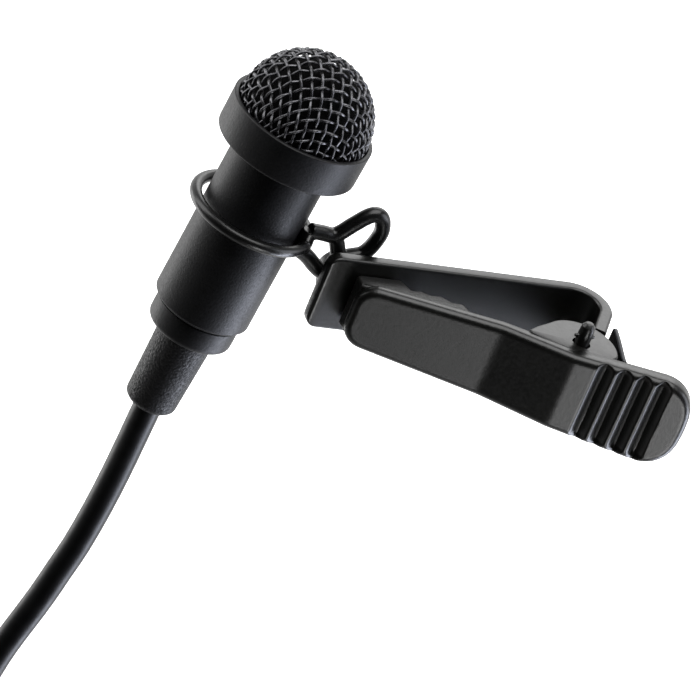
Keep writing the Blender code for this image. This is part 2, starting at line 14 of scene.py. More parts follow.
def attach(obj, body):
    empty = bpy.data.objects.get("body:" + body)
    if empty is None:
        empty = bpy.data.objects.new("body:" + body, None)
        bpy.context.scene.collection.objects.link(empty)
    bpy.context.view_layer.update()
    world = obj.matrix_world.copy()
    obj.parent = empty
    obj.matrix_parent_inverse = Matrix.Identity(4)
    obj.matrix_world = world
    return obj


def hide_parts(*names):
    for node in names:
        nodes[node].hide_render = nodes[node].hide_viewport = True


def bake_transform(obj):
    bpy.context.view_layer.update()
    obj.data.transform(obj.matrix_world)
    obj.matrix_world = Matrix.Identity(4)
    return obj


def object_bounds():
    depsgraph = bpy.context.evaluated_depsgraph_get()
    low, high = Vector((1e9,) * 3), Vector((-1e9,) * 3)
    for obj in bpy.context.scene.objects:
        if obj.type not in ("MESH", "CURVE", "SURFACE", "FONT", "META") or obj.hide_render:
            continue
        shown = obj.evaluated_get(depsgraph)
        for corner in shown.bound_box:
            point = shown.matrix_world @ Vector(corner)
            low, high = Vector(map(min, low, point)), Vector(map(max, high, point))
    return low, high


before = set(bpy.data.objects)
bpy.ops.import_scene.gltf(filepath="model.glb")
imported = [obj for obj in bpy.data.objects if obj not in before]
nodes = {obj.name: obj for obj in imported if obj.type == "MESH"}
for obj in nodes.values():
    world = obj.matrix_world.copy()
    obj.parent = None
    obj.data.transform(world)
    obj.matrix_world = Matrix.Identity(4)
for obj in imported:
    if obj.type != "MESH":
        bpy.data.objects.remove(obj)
cad_box = [list(corner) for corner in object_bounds()]

# ---- Barrel ----
# An aluminium tube, 7.4 mm across, turned on a lathe, bead blasted and dyed black by anodising. It holds the
# capsule at its top and the cable's crimp at its bottom, where a small chamfer runs round it.
MM = 0.001
MIC = np.array([-7.9, 4.4, 2.25])             # the microphone's axis, at the height of the holder's ring
BARREL_R, BARREL_BORE = 3.7, 3.1


def rounded(corners, radius, closed=True, steps=4):
    """A 2D polyline with arcs for corners: each starts radius / tan(half angle) before its corner."""
    p = np.asarray(corners, float)
    out = []
    for i, point in enumerate(p):
        if not closed and i in (0, len(p) - 1):
            out.append(point)
            continue
        u, v = p[i - 1] - point, p[(i + 1) % len(p)] - point
        lu, lv = np.hypot(*u), np.hypot(*v)
        u, v = u / lu, v / lv
        half = math.acos(float(np.clip(u @ v, -1, 1))) / 2
        r = radius[i] if np.ndim(radius) else radius
        cut = min(r / max(math.tan(half), 1e-6), 0.45 * lu, 0.45 * lv)
        if cut < 1e-5 or half > 1.56:
            out.append(point)
            continue
        r = cut * math.tan(half)
        middle = point + (u + v) / np.hypot(*(u + v)) * r / math.sin(half)
        a, b = (point + u * cut - middle) / r, (point + v * cut - middle) / r
        turn = math.pi - 2 * half
        t = np.linspace(0, 1, steps + 1)[:, None]
        out.extend(middle + r * (np.sin((1 - t) * turn) * a + np.sin(t * turn) * b) / math.sin(turn))
    return np.array(out)


def lathe(profile, centre=MIC, facets=96):
    """Rows of a turned surface: the profile's (r, z) goes round to (r cos a, r sin a, z) from the centre."""
    a = np.linspace(0, 2 * np.pi, facets, endpoint=False)
    r, z = np.asarray(profile, float).T[:, :, None]
    return np.stack([r * np.cos(a), r * np.sin(a), z + 0 * a], -1) + centre


def skin(name, grids, finish, sharp=40):
    """A mesh object from grids of points. Columns close round; rows close too in a grid marked True."""
    points, faces, start = [], [], 0
    for grid, closed in grids:
        rows, columns = grid.shape[:2]
        i = np.arange(rows if closed else rows - 1)[:, None]
        j = np.arange(columns)[None, :]
        k, m = (i + 1) % rows, (j + 1) % columns
        corners = np.stack(np.broadcast_arrays(i * columns + j, i * columns + m, k * columns + m,
                                               k * columns + j), -1)
        faces.append(corners.reshape(-1, 4) + start)
        points.append(grid.reshape(-1, 3))
        start += rows * columns
    mesh = bpy.data.meshes.new(name)
    mesh.from_pydata((np.concatenate(points) * MM).tolist(), [], np.concatenate(faces).tolist())
    weld = bmesh.new()
    weld.from_mesh(mesh)
    bmesh.ops.remove_doubles(weld, verts=weld.verts, dist=5e-7)
    bmesh.ops.dissolve_degenerate(weld, edges=weld.edges, dist=1e-7)
    bmesh.ops.recalc_face_normals(weld, faces=weld.faces)
    weld.to_mesh(mesh)
    weld.free()
    mesh.shade_smooth()
    mesh.set_sharp_from_angle(angle=math.radians(sharp))
    mesh.materials.append(finish)
    piece = bpy.data.objects.new(name, mesh)
    bpy.context.scene.collection.objects.link(piece)
    return piece


def fit(piece, body, slot, *stands_for):
    """A finished piece rides on its body and stands for its CAD nodes. Its slot is not used."""
    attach(piece, body)
    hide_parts(*stands_for)


def linear(code):
    """An sRGB hex colour as linear RGBA."""
    c = np.array([int(code[i:i + 2], 16) for i in (1, 3, 5)]) / 255
    return (*np.where(c <= 0.04045, c / 12.92, ((c + 0.055) / 1.055) ** 2.4).tolist(), 1.0)


def add(tree, kind, settings=None, **links):
    """Adds one node: settings are its properties or sockets by name, links are (node, socket) pairs."""
    made = tree.nodes.new(kind)
    for name, value in (settings or {}).items():
        if name in made.inputs:
            made.inputs[name].default_value = value
        else:
            setattr(made, name, value)
    for name, (source, socket) in links.items():
        tree.links.new(source.outputs[socket], made.inputs[name.replace("_", " ")])
    return made


def finish(name, dark, light, patch, grain, depth, smooth, rough, **shader):
    """A finish with two colours in soft patches, a fine grain in its relief, and a roughness that follows it.

    patch, grain and depth are the patches' size, the grain's size and its relief in millimetres.
    """
    made = bpy.data.materials.new(name)
    made.use_nodes = True
    tree = made.node_tree
    surface = tree.nodes["Principled BSDF"]
    for socket, value in shader.items():
        surface.inputs[socket.replace("_", " ")].default_value = value
    place = add(tree, "ShaderNodeTexCoord")
    patches = add(tree, "ShaderNodeTexNoise", {"Scale": 1000 / patch, "Detail": 3.0}, Vector=(place, "Object"))
    grit = add(tree, "ShaderNodeTexNoise", {"Scale": 1000 / grain, "Detail": 2.0}, Vector=(place, "Object"))
    mixed = add(tree, "ShaderNodeMapRange", {"From Min": 0.35, "From Max": 0.65}, Value=(patches, "Fac"))
    colour = add(tree, "ShaderNodeMixRGB", {"Color1": linear(dark), "Color2": linear(light)},
                 Fac=(mixed, "Result"))
    sheen = add(tree, "ShaderNodeMapRange", {"From Min": 0.3, "From Max": 0.7, "To Min": smooth,
                                             "To Max": rough}, Value=(grit, "Fac"))
    relief = add(tree, "ShaderNodeBump", {"Strength": 1.0, "Distance": depth * MM}, Height=(grit, "Fac"))
    tree.links.new(colour.outputs["Color"], surface.inputs["Base Color"])
    tree.links.new(sheen.outputs["Result"], surface.inputs["Roughness"])
    tree.links.new(relief.outputs["Normal"], surface.inputs["Normal"])
    return made


# Black anodised aluminium, bead blasted: a matt, slightly cool black whose 0.15 mm grit just shows.
anodised = finish("anodised_aluminium_bead_blasted", "#09090b", "#0f0f11", 1.2, 0.15, 0.018, 0.42, 0.54,
                  IOR=1.5, Specular_IOR_Level=0.36)
neck = BARREL_BORE + 0.35
barrel = skin("barrel_tube", [(lathe(rounded([
    (neck, 7.1), (neck, 5.41), (BARREL_R, 5.41), (BARREL_R, -8.27), (3.38, -8.57), (BARREL_BORE, -8.57),
    (BARREL_BORE, 7.1)], 0.07)), True)], anodised)
fit(barrel, "microphone", "painted_metal", "barrel")

# ---- Capsule and its wiring ----
# An electret capsule in an aluminium can sits in a rubber boot at the barrel's top. A round board behind it
# carries the two leads down to the cable's crimp. The grille's liner hides them, so the CAD solids stay.


def dress(node, material):
    """A CAD node keeps its shape and gets a material."""
    nodes[node].data.materials.clear()
    nodes[node].data.materials.append(material)


# Drawn aluminium can: bright, with faint drawing marks.
dress("microphone_capsule", finish("drawn_aluminium_can", "#b4b4b0", "#c2c2be", 1.5, 0.1, 0.003, 0.25, 0.4,
                                   Metallic=1.0))
# Moulded silicone rubber: black and matt.
dress("capsule_boot", finish("moulded_silicone_boot", "#161616", "#1c1c1c", 1.0, 0.1, 0.005, 0.6, 0.75))
# Glass-fibre board with green solder resist, and the two leads: red insulation and bare tinned copper.
dress("contact_board", finish("solder_resist_board", "#0d3a22", "#124a2c", 0.8, 0.2, 0.003, 0.3, 0.45))
dress("signal_lead", finish("red_lead_insulation", "#7a1712", "#8a1c16", 1.0, 0.2, 0.002, 0.35, 0.5))
dress("ground_lead", finish("bare_copper_wire", "#b06a48", "#c07a55", 1.0, 0.1, 0.002, 0.25, 0.4,
                            Metallic=1.0))
# Gold-plated brass: warm and bright, with the lathe's faint marks under the plating.
gold = finish("gold_plated_brass", "#c99b52", "#d8ab60", 1.5, 0.08, 0.002, 0.16, 0.28, Metallic=1.0)
dress("crimp_ferrule", gold)

# ---- Grille ----
# Blackened steel wire, 0.21 mm thick, woven plain at 0.78 mm and pressed into a dome. Its edge is clamped
# in the bezel, and a black acoustic cloth lies close inside it and keeps out light.
DOME_R, DOME_Z = 4.86, 8.54                   # middle of the wires, from the microphone's axis and ring
PITCH, WIRE_R = 0.78, 0.105
WEAVE_TURN = math.radians(-5.0)               # how far the weave is turned from the clip's direction
PER_PITCH = 6                                 # points along a wire for each mesh opening


def pressed_net(count, step, kept_share=0.55):
    """Unit directions of a woven sheet pressed over a sphere, on a square net of steps from its pole.

    About half of it is a net whose sides keep their length: a corner is the opposite one mirrored in the
    plane through the two between them. The rest spreads evenly from the pole, as wire that stretches does.
    """
    n = count + 1
    kept = np.zeros((n, n, 3))
    arc = np.arange(n) * step
    kept[:, 0] = np.stack([np.sin(arc), 0 * arc, np.cos(arc)], -1)
    kept[0] = np.stack([0 * arc, np.sin(arc), np.cos(arc)], -1)
    for diagonal in range(2, 2 * n - 1):
        i = np.arange(max(1, diagonal - n + 1), min(n, diagonal))
        j = diagonal - i
        normal = np.cross(kept[i - 1, j], kept[i, j - 1])
        normal /= np.linalg.norm(normal, axis=-1, keepdims=True) + 1e-12
        corner = kept[i - 1, j - 1]
        kept[i, j] = corner - 2 * (corner * normal).sum(-1, keepdims=True) * normal
    u, v = np.meshgrid(arc, arc, indexing="ij")
    reach = np.hypot(u, v) + 1e-12
    even = np.stack([np.sin(reach) * u / reach, np.sin(reach) * v / reach, np.cos(reach)], -1)
    blend = kept_share * kept + (1 - kept_share) * even
    return blend / np.linalg.norm(blend, axis=-1, keepdims=True)


def tube(path, radius, sides=16, up=(0, 1, 0)):
    """Rows round a path with tangent t: circles on the axes s = t x up and s x t, closed at both ends."""
    path = np.asarray(path, float)
    t = np.gradient(path, axis=0)
    t /= np.linalg.norm(t, axis=1, keepdims=True)
    s = np.cross(t, up)
    s /= np.linalg.norm(s, axis=1, keepdims=True)
    n = np.cross(s, t)
    a = np.linspace(0, 2 * np.pi, sides, endpoint=False)[None, :, None]
    r = np.broadcast_to(radius, len(path))[:, None, None]
    rows = path[:, None] + r * (np.cos(a) * s[:, None] + np.sin(a) * n[:, None])
    ends = [np.repeat(path[k][None, None], sides, 1) for k in (0, -1)]
    return np.concatenate([ends[0], rows, ends[1]])


half_wires = 11                               # wires on each side of the pole, in each direction
count = half_wires * PER_PITCH + PER_PITCH
quarter = pressed_net(count, PITCH / PER_PITCH / DOME_R)
index = np.arange(-count, count + 1)
net = quarter[np.abs(index)[:, None], np.abs(index)[None, :]]
net = net * np.stack(np.broadcast_arrays(np.sign(index)[:, None], np.sign(index)[None, :],
                                         np.ones((1, 1))), -1)
net[..., 0] = np.where(index[:, None] == 0, 0, net[..., 0])
cos_w, sin_w = math.cos(WEAVE_TURN), math.sin(WEAVE_TURN)
net = net @ np.array([[cos_w, sin_w, 0], [-sin_w, cos_w, 0], [0, 0, 1.0]])
wires = []
for family in (0, 1):
    for wire in range(-half_wires, half_wires + 1):
        row = wire * PER_PITCH + PER_PITCH // 2 + count
        line = net[row] if family == 0 else net[:, row]
        inside = np.flatnonzero(line[:, 2] > -0.05)
        inside = inside[(inside > 0) & (inside < 2 * count)]
        if len(inside) < 2 * PER_PITCH:
            continue
        inside = np.arange(inside.min(), inside.max() + 1)
        turn = np.pi * (inside - count - PER_PITCH // 2) / PER_PITCH
        over = np.cos(turn) * (1 if (wire + family) % 2 else -1)
        place = line[inside] * (DOME_R + WIRE_R * over)[:, None]
        wires.append((tube(place + MIC + (0, 0, DOME_Z), WIRE_R, 7, up=(0.31, 0.23, 0.92)), False))
# Blackened steel wire: dark oxide that wears to grey metal on the crowns of the weave.
wire_finish = finish("blackened_woven_steel", "#3e3e40", "#6c6c6f", 0.5, 0.06, 0.003, 0.2, 0.34,
                     Metallic=0.9)
grille = skin("woven_grille", wires, wire_finish, 80)
fit(grille, "microphone", "grille_wire", "wire_grille")
# Acoustic cloth: fine black polyester gauze that returns almost no light.
dress("cloth_liner", finish("black_acoustic_gauze", "#050505", "#090909", 0.6, 0.2, 0.02, 0.9, 1.0,
                            Specular_IOR_Level=0.1))

# ---- Bezel ----
# A turned and anodised cup, screwed on the barrel's neck over the grille's edge. Its rim is a flat lip
# 0.3 mm wide, polished a little by handling.
bezel = skin("bezel_cup", [(lathe(rounded([
    (5.1, 8.54), (5.43, 8.54), (5.4, 5.61), (3.6, 5.61), (3.6, 6.3), (5.1, 6.3)],
    [0.05, 0.11, 0.2, 0.05, 0.05, 0.05], steps=5), facets=128), True)], anodised)
fit(bezel, "microphone", "painted_metal", "grille_bezel")

# ---- End collar ----
# A second turned and anodised ring closes the barrel and holds the strain relief's flange against the
# crimp. Its lower edge is rounded over.
collar = skin("closing_collar", [(lathe(rounded([
    (2.9, -7.4), (2.9, -8.72), (3.25, -8.72), (3.25, -10.65), (2.32, -10.65), (2.32, -10.0), (2.65, -10.0),
    (2.65, -7.4)], [0.05, 0.05, 0.06, 0.5, 0.05, 0.05, 0.05, 0.05], steps=6)), True)], anodised)
fit(collar, "microphone", "painted_metal", "end_collar")

# ---- Strain relief ----
# A sleeve of soft black elastomer, moulded in a spark-eroded tool that leaves a pebbled skin. It tapers a
# little and its open end is rounded on to the cable.
relief_finish = finish("pebbled_elastomer", "#070708", "#111112", 0.35, 0.17, 0.075, 0.34, 0.7,
                       Specular_IOR_Level=0.32)
relief = skin("strain_relief_sleeve", [(lathe(rounded([
    (1.225, -8.9), (2.5, -8.9), (2.5, -9.8), (2.2, -9.8), (1.97, -17.1), (1.62, -17.45), (1.225, -17.45)],
    [0.05, 0.1, 0.1, 0.05, 0.4, 0.3, 0.05], steps=5)), True)], relief_finish)
fit(relief, "microphone", "rubber", "strain_relief")

# ---- Cable ----
# A round cable, 2.15 mm thick, with a soft satin jacket over its screen and cores. It hangs from the relief,
# and its spare length is wound into a round coil of four layers, with 17 to 18 turns; its tail bends over to
# the plug.
CABLE_D = 2.15
FREE = [(0, -9.1), (0, -13), (0.05, -17.0), (0.25, -20.5), (0.45, -24.0), (0.53, -27.5), (0.45, -31.0),
        (0.2, -33.5), (-0.05, -36.0), (-0.42, -38.5), (-0.8, -40.9), (-1.0, -43.4), (-0.95, -46.0),
        (-0.35, -48.5), (0.9, -50.4), (2.6, -51.6)]          # x and z from the microphone's axis
COIL = np.array([-0.3, 4.3, -70.0])           # the coil's centre from the microphone's axis
LAYERS = (16.3, 14.1, 11.9, 9.7)              # radius of each layer, at the middle of the cable
FRONT = -4.4                                  # the front column of turns, from the coil's centre
TAIL = [(-9.37, -2.6, 2.5), (-8.9, -3.1, 4.9), (-7.3, -4.0, 7.6), (-4.7, -5.1, 10.0), (-1.5, -6.1, 11.0),
        (1.3, -6.6, 10.2), (2.8, -6.7, 7.8), (3.1, -6.7, 5.0), (3.1, -6.7, 1.5)]


def wound(first, last, radius_first, radius_last, y_first, y_last, kind="turn"):
    """Points (r sin a, y, r cos a) about the coil's centre, clockwise from its top, 24 to a turn.

    The angle a runs evenly between the two in degrees. The radius eases in and out, or settles early where
    the cable arrives; y runs evenly, or starts slowly where the cable leaves.
    """
    steps = max(2, round(abs(last - first) / 15))
    t = np.linspace(0, 1, steps + 1)
    a = np.radians(first + (last - first) * t)
    settled = 1 - (1 - t) ** 2 if kind == "arrival" else t * t * (3 - 2 * t)
    r = radius_first + (radius_last - radius_first) * settled
    y = y_first + (y_last - y_first) * (t * t if kind == "departure" else t)
    return np.stack([r * np.sin(a), y, r * np.cos(a)], -1)


def through(points, per_span):
    """A Catmull-Rom curve through the points, read at equal steps between each two."""
    p = np.concatenate([[2 * points[0] - points[1]], points, [2 * points[-1] - points[-2]]])
    t = (np.arange(per_span) / per_span)[None, :, None]
    a, b, c, d = (p[k:len(p) - 3 + k][:, None] for k in range(4))
    curve = 0.5 * (2 * b + (c - a) * t + (2 * a - 5 * b + 4 * c - d) * t ** 2
                   + (3 * b - a - 3 * c + d) * t ** 3)
    return np.concatenate([curve.reshape(-1, 3), points[-1:]])


layer_turn, step_down = 4 * 360.0, 166.0      # degrees wound in each layer, and from one layer to the next
angle, turns = 45.0, [wound(9.0, 45.0, 18.6, LAYERS[0], FRONT, FRONT + 0.22, "arrival")[1:]]
for layer, r in enumerate(LAYERS):
    y_in, y_out = (FRONT, -FRONT) if layer % 2 == 0 else (-FRONT, FRONT)
    turns.append(wound(angle, angle + layer_turn, r, r, y_in + (0.22 if layer == 0 else 0), y_out)[1:])
    angle += layer_turn
    if layer < 3:
        turns.append(wound(angle, angle + step_down, r, LAYERS[layer + 1], y_out, y_out)[1:])
        angle += step_down
leave = 285.0 + 360 * math.ceil((angle - 200) / 360)
turns.append(wound(angle, leave, LAYERS[3], 9.72, FRONT, TAIL[0][1] - COIL[1], "departure")[1:-1])
route = np.concatenate([
    [(x, 0, z) for x, z in FREE], np.concatenate(turns) + COIL, np.array(TAIL) + (COIL[0], 0, COIL[2])])
centreline = through(route, 2) + MIC
# Satin elastomer cable jacket: smooth and black, with the faint unevenness of its braided screen beneath.
jacket = finish("satin_cable_jacket", "#070708", "#0b0b0c", 2.5, 0.9, 0.012, 0.36, 0.44,
                Specular_IOR_Level=0.28)
cable = skin("lead_cable", [(tube(centreline, CABLE_D / 2, 14), False)], jacket, 60)
fit(cable, "microphone", "cable_jacket", "cable", "cable_coil", "cable_tail")

# ---- Cable tie ----
# A band of hook-and-loop tape, 5 mm wide, wrapped round the coil and pressed on itself.
tape = finish("hook_and_loop_tape", "#0e0e0f", "#1d1d1f", 0.7, 0.3, 0.12, 0.85, 1.0)
dress("cable_tie", tape)

# ---- Plug ----
# A 3.5 mm jack with a rubber boot, a turned housing and a knurled locking ring with a threaded inside. The
# sleeve, ring and tip are gold plated, and thin black insulators part them.
PLUG = MIC + COIL + (3.1, -6.7 - COIL[1], 4.6)
boot = skin("plug_bend_relief", [(lathe(rounded(
    [(1.225, 0.6), (1.7, 0.5), (1.9, 0.1), (2.2, -3.0), (2.0, -3.3), (2.0, -3.8), (2.3, -4.1), (2.5, -7.2),
     (3.1, -7.2), (3.1, -8.4), (1.225, -8.4)], 0.12), PLUG, 64), True)], relief_finish)
fit(boot, "microphone", "rubber", "plug_boot")
housing = skin("plug_shell", [(lathe(rounded(
    [(3.25, -7.3), (3.9, -7.4), (4.1, -7.7), (4.1, -15.2), (3.1, -15.2), (3.1, -17.5), (2.0, -17.5),
     (2.0, -16.5), (2.5, -8.7), (3.25, -8.7)], 0.12), PLUG), True)], anodised)
fit(housing, "microphone", "painted_metal", "plug_housing")
ring_rows = lathe(rounded([(4.75, -15.4), (4.75, -22.8), (2.9, -22.8), (2.9, -17.65), (3.25, -17.65),
                           (3.25, -15.4)], [0.3, 0.3, 0.1, 0.1, 0.1, 0.1]), (0, 0, 0), 160)
reach = np.hypot(ring_rows[..., 0], ring_rows[..., 1])
around = np.arctan2(ring_rows[..., 1], ring_rows[..., 0])
ridges, ridge = 40, 0.03                      # ridges round the ring, and their height over its radius
knurl = np.where(reach > 4.6, 1 + ridge * (0.5 + 0.5 * np.cos(ridges * around)), 1.0)
ring_rows[..., :2] *= knurl[..., None]
locking = skin("knurled_locking_ring", [(ring_rows + PLUG, True)], anodised)
fit(locking, "locking_collar", "painted_metal", "locking_ring")
sleeve = skin("jack_sleeve_contact", [(lathe(rounded(
    [(0.95, -17.65), (1.9, -17.65), (1.9, -18.6), (1.75, -18.6), (1.75, -26.6), (0.95, -26.6)], 0.06),
    PLUG, 64), True)], gold)
fit(sleeve, "microphone", "gold_plate", "jack_sleeve")
ring = skin("jack_ring_contact", [(lathe(rounded(
    [(0.95, -27.4), (1.75, -27.4), (1.75, -29.2), (0.95, -29.2)], 0.06), PLUG, 64), True)], gold)
fit(ring, "microphone", "gold_plate", "jack_ring")
tip = skin("jack_tip_contact", [(lathe(rounded(
    [(0, -17.7), (0.8, -17.7), (0.8, -30.0), (1.75, -30.0), (1.75, -30.7), (1.3, -31.5), (1.7, -32.3),
     (1.45, -33.0), (0.8, -33.6), (0, -33.8)], 0.25, closed=False), PLUG, 64), False)], gold)
fit(tip, "microphone", "gold_plate", "jack_tip")
# Moulded nylon insulators: black, with a dull shine.
insulator = finish("moulded_nylon_insulator", "#141414", "#1a1a1a", 0.5, 0.1, 0.003, 0.35, 0.5)
dress("upper_insulator", insulator)
dress("lower_insulator", insulator)

# ---- Holder ----
# One moulding of black acetal: a ring that snaps round the barrel, thin round struts with a small loop for
# the cable, and the hub that turns on the clip's post. Its struts flow into each other with soft fillets.
RING_R, RING_ROD = 4.45, 0.45
STRUT_Y, STRUT_R = -2.45, 0.56
HUB = (7.9, -2.25)
STRUTS = [
    [(3.45, 1.15), (4.5, 1.2), (5.5, 1.3), (6.43, 2.5), (7.05, 3.3), (7.5, 3.65), (8.0, 3.68), (8.45, 3.3),
     (8.78, 2.5), (8.75, 1.6), (8.55, 0.8), (8.2, 0.25), (7.6, -0.05), (6.9, -0.4)],
    [(5.5, 1.3), (6.0, 0.6), (6.7, -0.55), HUB],
    [(3.45, -0.6), (4.3, -0.98), (5.8, -1.85), HUB],
    [(3.45, 1.2), (3.5, 0.1), (3.45, -0.75)]]
a = np.linspace(0, 2 * np.pi, 24, endpoint=False)
torus_profile = np.stack([RING_R + RING_ROD * np.cos(a), RING_ROD * np.sin(a)], -1)
grids = [(lathe(torus_profile, facets=128), True)]
for strut in STRUTS:
    line = through(np.array([(x, STRUT_Y, z) for x, z in strut]), 6)
    grids.append((tube(line + MIC, STRUT_R + 0.03, 16), False))
hub_profile = rounded([(0.85, 0.55), (1.9, 0.55), (1.9, -0.55), (0.85, -0.55)], 0.2)
hub = lathe(hub_profile, (0, 0, 0), 64)[..., [0, 2, 1]]
grids.append((hub + MIC + (HUB[0], STRUT_Y, HUB[1]), True))


def fused(piece, cell, passes):
    """Joins a piece's overlapping shells into one skin of cubes of that size, then relaxes it."""
    remesh = piece.modifiers.new("fuse", "REMESH")
    remesh.mode = "VOXEL"
    remesh.voxel_size = cell * MM
    relax = piece.modifiers.new("relax", "SMOOTH")
    relax.factor = 0.5
    relax.iterations = passes
    bpy.context.view_layer.update()
    made = bpy.data.meshes.new_from_object(piece.evaluated_get(bpy.context.evaluated_depsgraph_get()))
    piece.modifiers.clear()
    piece.data = made
    made.shade_smooth()
    return piece


# Moulded acetal: smoother and glossier than the rest, so it carries the brightest highlights.
acetal = finish("moulded_black_acetal", "#080808", "#0c0c0c", 1.5, 0.35, 0.0015, 0.27, 0.33, IOR=1.48)
holder = fused(skin("ring_holder", grids, acetal), 0.055, 9)
fit(holder, "holder", "black_plastic", "holder_frame")

# ---- Rear jaw ----
# A flat jaw of glass-filled nylon, 1 mm thick, moulded with the hairpin bend that springs it, the strip down
# to the hinge pin, the pin's knuckle and the post that the holder turns on.
TILT = math.radians(6.7)
HALF_JAW, JAW_LEFT = 3.075, -2.55
BEND, BEND_R = (16.91, -1.65), 2.15
PIN = (15.0, -7.2)


def on_clip(points):
    """Turns points from the clip's own axes to the frame's: x and z turn by the clip's tilt."""
    x, y, z = np.moveaxis(np.asarray(points, float), -1, 0)
    return np.stack([x * math.cos(TILT) - z * math.sin(TILT), y, x * math.sin(TILT) + z * math.cos(TILT)], -1)


def strap(path, half_height, half_thick, corner):
    """A bar along a path in the clip's plane: rounded rectangles across it, with half sizes for each point."""
    path = np.asarray(path, float)
    t = np.gradient(path, axis=0)
    t /= np.linalg.norm(t, axis=1, keepdims=True)
    n = np.stack([-t[:, 1], t[:, 0]], -1)
    h = np.broadcast_to(half_height, len(path))[:, None]
    w = np.broadcast_to(half_thick, len(path))[:, None]
    c = np.minimum(corner, 0.98 * w)
    a = np.radians(np.concatenate([np.linspace(q, q + 90, 6) for q in (0, 90, 180, 270)]))[None]
    corner_of = np.repeat(np.array([[1, 1], [-1, 1], [-1, -1], [1, -1]]), 6, axis=0)
    across = corner_of[None, :, 0] * (w - c) + c * np.cos(a)
    up = corner_of[None, :, 1] * (h - c) + c * np.sin(a)
    flat = path[:, None] + across[..., None] * n[:, None]
    rows = np.concatenate([flat, up[..., None]], -1)
    flat_end, flat_start = (
        np.concatenate([np.repeat(path[k][None], a.shape[1], 0), up[k][:, None]], -1)[None] for k in (-1, 0))
    return np.concatenate([flat_start, rows, flat_end])


flat_x = JAW_LEFT + np.concatenate([0.9 * (1 - np.cos(np.linspace(0, np.pi / 2, 12))),
                                    np.linspace(1.2, 19.46, 20)])
turn = np.radians(np.linspace(90, -26.3, 24))[1:]
hairpin = np.stack([BEND[0] + BEND_R * np.cos(turn), BEND[1] + BEND_R * np.sin(turn)], -1)
strip = hairpin[-1] + np.linspace(0, 1, 30)[1:, None] * (np.array([16.15, -7.2]) - hairpin[-1])
jaw_path = np.concatenate([np.stack([flat_x, 0 * flat_x + 0.5], -1), hairpin, strip])
from_left = jaw_path[:, 0] - JAW_LEFT
is_flat = np.arange(len(jaw_path)) < len(flat_x)
short = np.clip(0.9 - from_left, 0, 0.9) * is_flat
thin = np.clip(0.25 - from_left, 0, 0.25) * is_flat
from_pin = np.hypot(*(jaw_path - PIN).T)
height = np.where(from_pin > 3.3, HALF_JAW - 0.9 + np.sqrt(0.81 - short ** 2), 1.85)
thick = 0.25 + np.sqrt(0.0625 - thin ** 2)
rear = [(on_clip(strap(jaw_path, height, thick, 0.22)), False)]
knuckle = lathe(rounded([(0.7, 1.86), (1.25, 1.86), (1.25, -1.86), (0.7, -1.86)], 0.12), (*PIN, 0), 48)
post = lathe(rounded([(0, 3.45), (0.7, 3.45), (0.7, 0.6), (0, 0.6)], 0.12, closed=False), (0, 0, 0), 40)
rear += [(on_clip(knuckle), True), (on_clip(post[..., [0, 2, 1]]), False)]
# Moulded glass-filled nylon: satin, with a faint warm cast and a fine spark-eroded grain.
nylon = finish("moulded_glass_filled_nylon", "#080807", "#0e0e0c", 2.5, 0.25, 0.0045, 0.28, 0.35, IOR=1.53)
rear_jaw = skin("rear_jaw_moulding", rear, nylon)
fit(rear_jaw, "clip", "black_plastic", "rear_jaw")

# ---- Front lever ----
# The thumb lever, moulded in the same nylon: a shallow channel with a double fold, softly rounded front
# edges, four finger grooves in its grip, and two round ears that the hinge pin passes through.
FRONT_LINE = [(-0.85, -2.35), (9.15, -6.35), (13.85, -9.2), (22.8, -12.61)]
round_end = np.radians(np.arange(0, 89, 11))
HALF_AT = [(-0.85, 2.5), (9.15, 3.05), (13.85, 3.2)] + list(zip(
    20.3 + 2.45 * np.sin(round_end), 3.55 * np.cos(round_end) ** 0.7))
DEPTH_AT = [(-0.85, 0.85), (9.15, 1.05), (13.85, 1.35), (22.8, 1.5)]
GROOVES, GROOVE_W, GROOVE_DEEP = (2.38, 3.83, 5.31, 6.79), 0.66, 0.55
EDGE, WALL = 0.55, 0.85
spine = rounded(FRONT_LINE, [0, 4.0, 2.5, 0], closed=False, steps=10)
spine_s = np.concatenate([[0], np.cumsum(np.hypot(*np.diff(spine, axis=0).T))])
s_at = np.interp([x for x, _ in HALF_AT], spine[:, 0], spine_s)
upper = list(zip(s_at, [h for _, h in HALF_AT]))
corner_radii = [1.7, 4, 4] + [1.5] * len(round_end)
outline = rounded(upper + [(s, -h) for s, h in upper[::-1]], corner_radii + corner_radii[::-1], steps=8)
run = np.concatenate([[0], np.cumsum(np.hypot(*np.diff(np.concatenate([outline, outline[:1]]), axis=0).T))])
even = np.linspace(0, run[-1], 640, endpoint=False)
outline = np.stack([np.interp(even, run, np.append(outline[:, k], outline[0, k])) for k in (0, 1)], -1)
along = np.roll(outline, -1, 0) - np.roll(outline, 1, 0)
inward = np.stack([along[:, 1], -along[:, 0]], -1)
inward /= np.hypot(*inward.T)[:, None]
inward *= np.sign((inward * (outline.mean(0) - outline)).sum(-1)[:1])
end_s = spine_s[-1]
core = np.stack([np.clip(outline[:, 0], 1.9, end_s - 2.3), 0 * outline[:, 1]], -1)


def on_lever(s, w, depth):
    """A point s along the lever's front, w across it and depth behind it, in the clip's axes."""
    t = np.gradient(spine, axis=0)
    t /= np.hypot(*t.T)[:, None]
    x, y, tx, ty = (np.interp(s, spine_s, v) for v in (*spine.T, *t.T))
    size = np.hypot(tx, ty)
    return np.stack([x - ty / size * depth, y + tx / size * depth, w], -1)


def lever_row(inset, depth):
    """The outline moved in by inset, at that depth."""
    at = outline + inward * inset
    return on_lever(at[:, 0], at[:, 1], depth)


fold_s = np.interp(13.85, spine[:, 0], spine_s)
deep = np.interp(np.interp(outline[:, 0], spine_s, spine[:, 0]), *np.array(DEPTH_AT).T)


